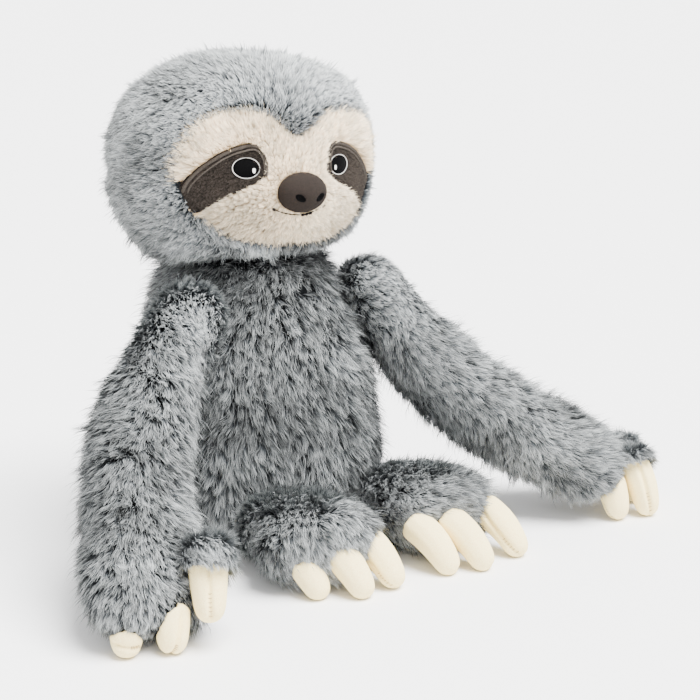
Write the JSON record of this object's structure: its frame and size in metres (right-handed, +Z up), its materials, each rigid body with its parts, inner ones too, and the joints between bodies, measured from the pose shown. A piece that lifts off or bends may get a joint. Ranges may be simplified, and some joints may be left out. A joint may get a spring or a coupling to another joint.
{
  "type": "plush sloth",
  "caption": "Sitting stuffed toy sloth with a hooded head, long bowed arms and short legs that end in soft curved claws; limbs and head turn at their sewn seams.",
  "frame": {"origin": "on the floor, in the middle of the flat seat under the torso", "axes": "+Z up, the toy's face and feet point along -Y, +X is the toy's own left side"},
  "size_m": [0.4239, 0.2416, 0.3032],
  "materials": {
    "fur": "long pile plush, blue-grey with dark roots and pale tips",
    "face_plush": "short cream pile",
    "patch_velour": "short brown-grey velour",
    "nose_velour": "brown velour, stuffed",
    "claw_velour": "ivory velour, stuffed",
    "black_thread": "satin stitch embroidery",
    "white_thread": "satin stitch embroidery",
    "mouth_thread": "twisted thread",
    "stuffing": "loose polyester fibre",
    "pellets": "bagged plastic pellets"
  },
  "bodies": {
    "torso": {"torso_cover": "fur", "torso_filling": "stuffing", "seat_pellet_bag": "pellets"},
    "head": {"head_hood": "fur", "right_eye_patch": "patch_velour", "right_eye_rim": "white_thread", "right_eye": "black_thread", "right_eye_glint": "white_thread", "left_eye_patch": "patch_velour", "left_eye_rim": "white_thread", "left_eye": "black_thread", "left_eye_glint": "white_thread", "face_panel": "face_plush", "right_nostril": "black_thread", "left_nostril": "black_thread", "nose": "nose_velour", "mouth_stitch": "mouth_thread", "head_filling": "stuffing"},
    "right_arm": {"right_arm_cover": "fur", "right_arm_filling": "stuffing", "right_hand_claw_1": "claw_velour", "right_hand_claw_2": "claw_velour", "right_hand_claw_3": "claw_velour"},
    "right_leg": {"right_leg_cover": "fur", "right_leg_filling": "stuffing", "right_foot_claw_1": "claw_velour", "right_foot_claw_2": "claw_velour", "right_foot_claw_3": "claw_velour"},
    "left_arm": {"left_arm_cover": "fur", "left_arm_filling": "stuffing", "left_hand_claw_1": "claw_velour", "left_hand_claw_2": "claw_velour", "left_hand_claw_3": "claw_velour"},
    "left_leg": {"left_leg_cover": "fur", "left_leg_filling": "stuffing", "left_foot_claw_1": "claw_velour", "left_foot_claw_2": "claw_velour", "left_foot_claw_3": "claw_velour"}
  },
  "joints": [
    {"name": "neck_turn", "type": "hinge", "parent": "torso", "child": "head", "pos_m": [0, 0.03, 0.182], "axis": [0, 0, 1], "range_deg": [-30, 30]},
    {"name": "right_shoulder_swing", "type": "hinge", "parent": "torso", "child": "right_arm", "pos_m": [-0.07, -0.015, 0.15], "axis": [-1, 0, 0], "range_deg": [0, 100]},
    {"name": "right_hip_lift", "type": "hinge", "parent": "torso", "child": "right_leg", "pos_m": [-0.046, -0.066, 0.0245], "axis": [-1, 0, 0], "range_deg": [0, 35]},
    {"name": "left_shoulder_swing", "type": "hinge", "parent": "torso", "child": "left_arm", "pos_m": [0.07, -0.015, 0.15], "axis": [-1, 0, 0], "range_deg": [0, 100]},
    {"name": "left_hip_lift", "type": "hinge", "parent": "torso", "child": "left_leg", "pos_m": [0.046, -0.066, 0.0245], "axis": [-1, 0, 0], "range_deg": [0, 35]}
  ]
}
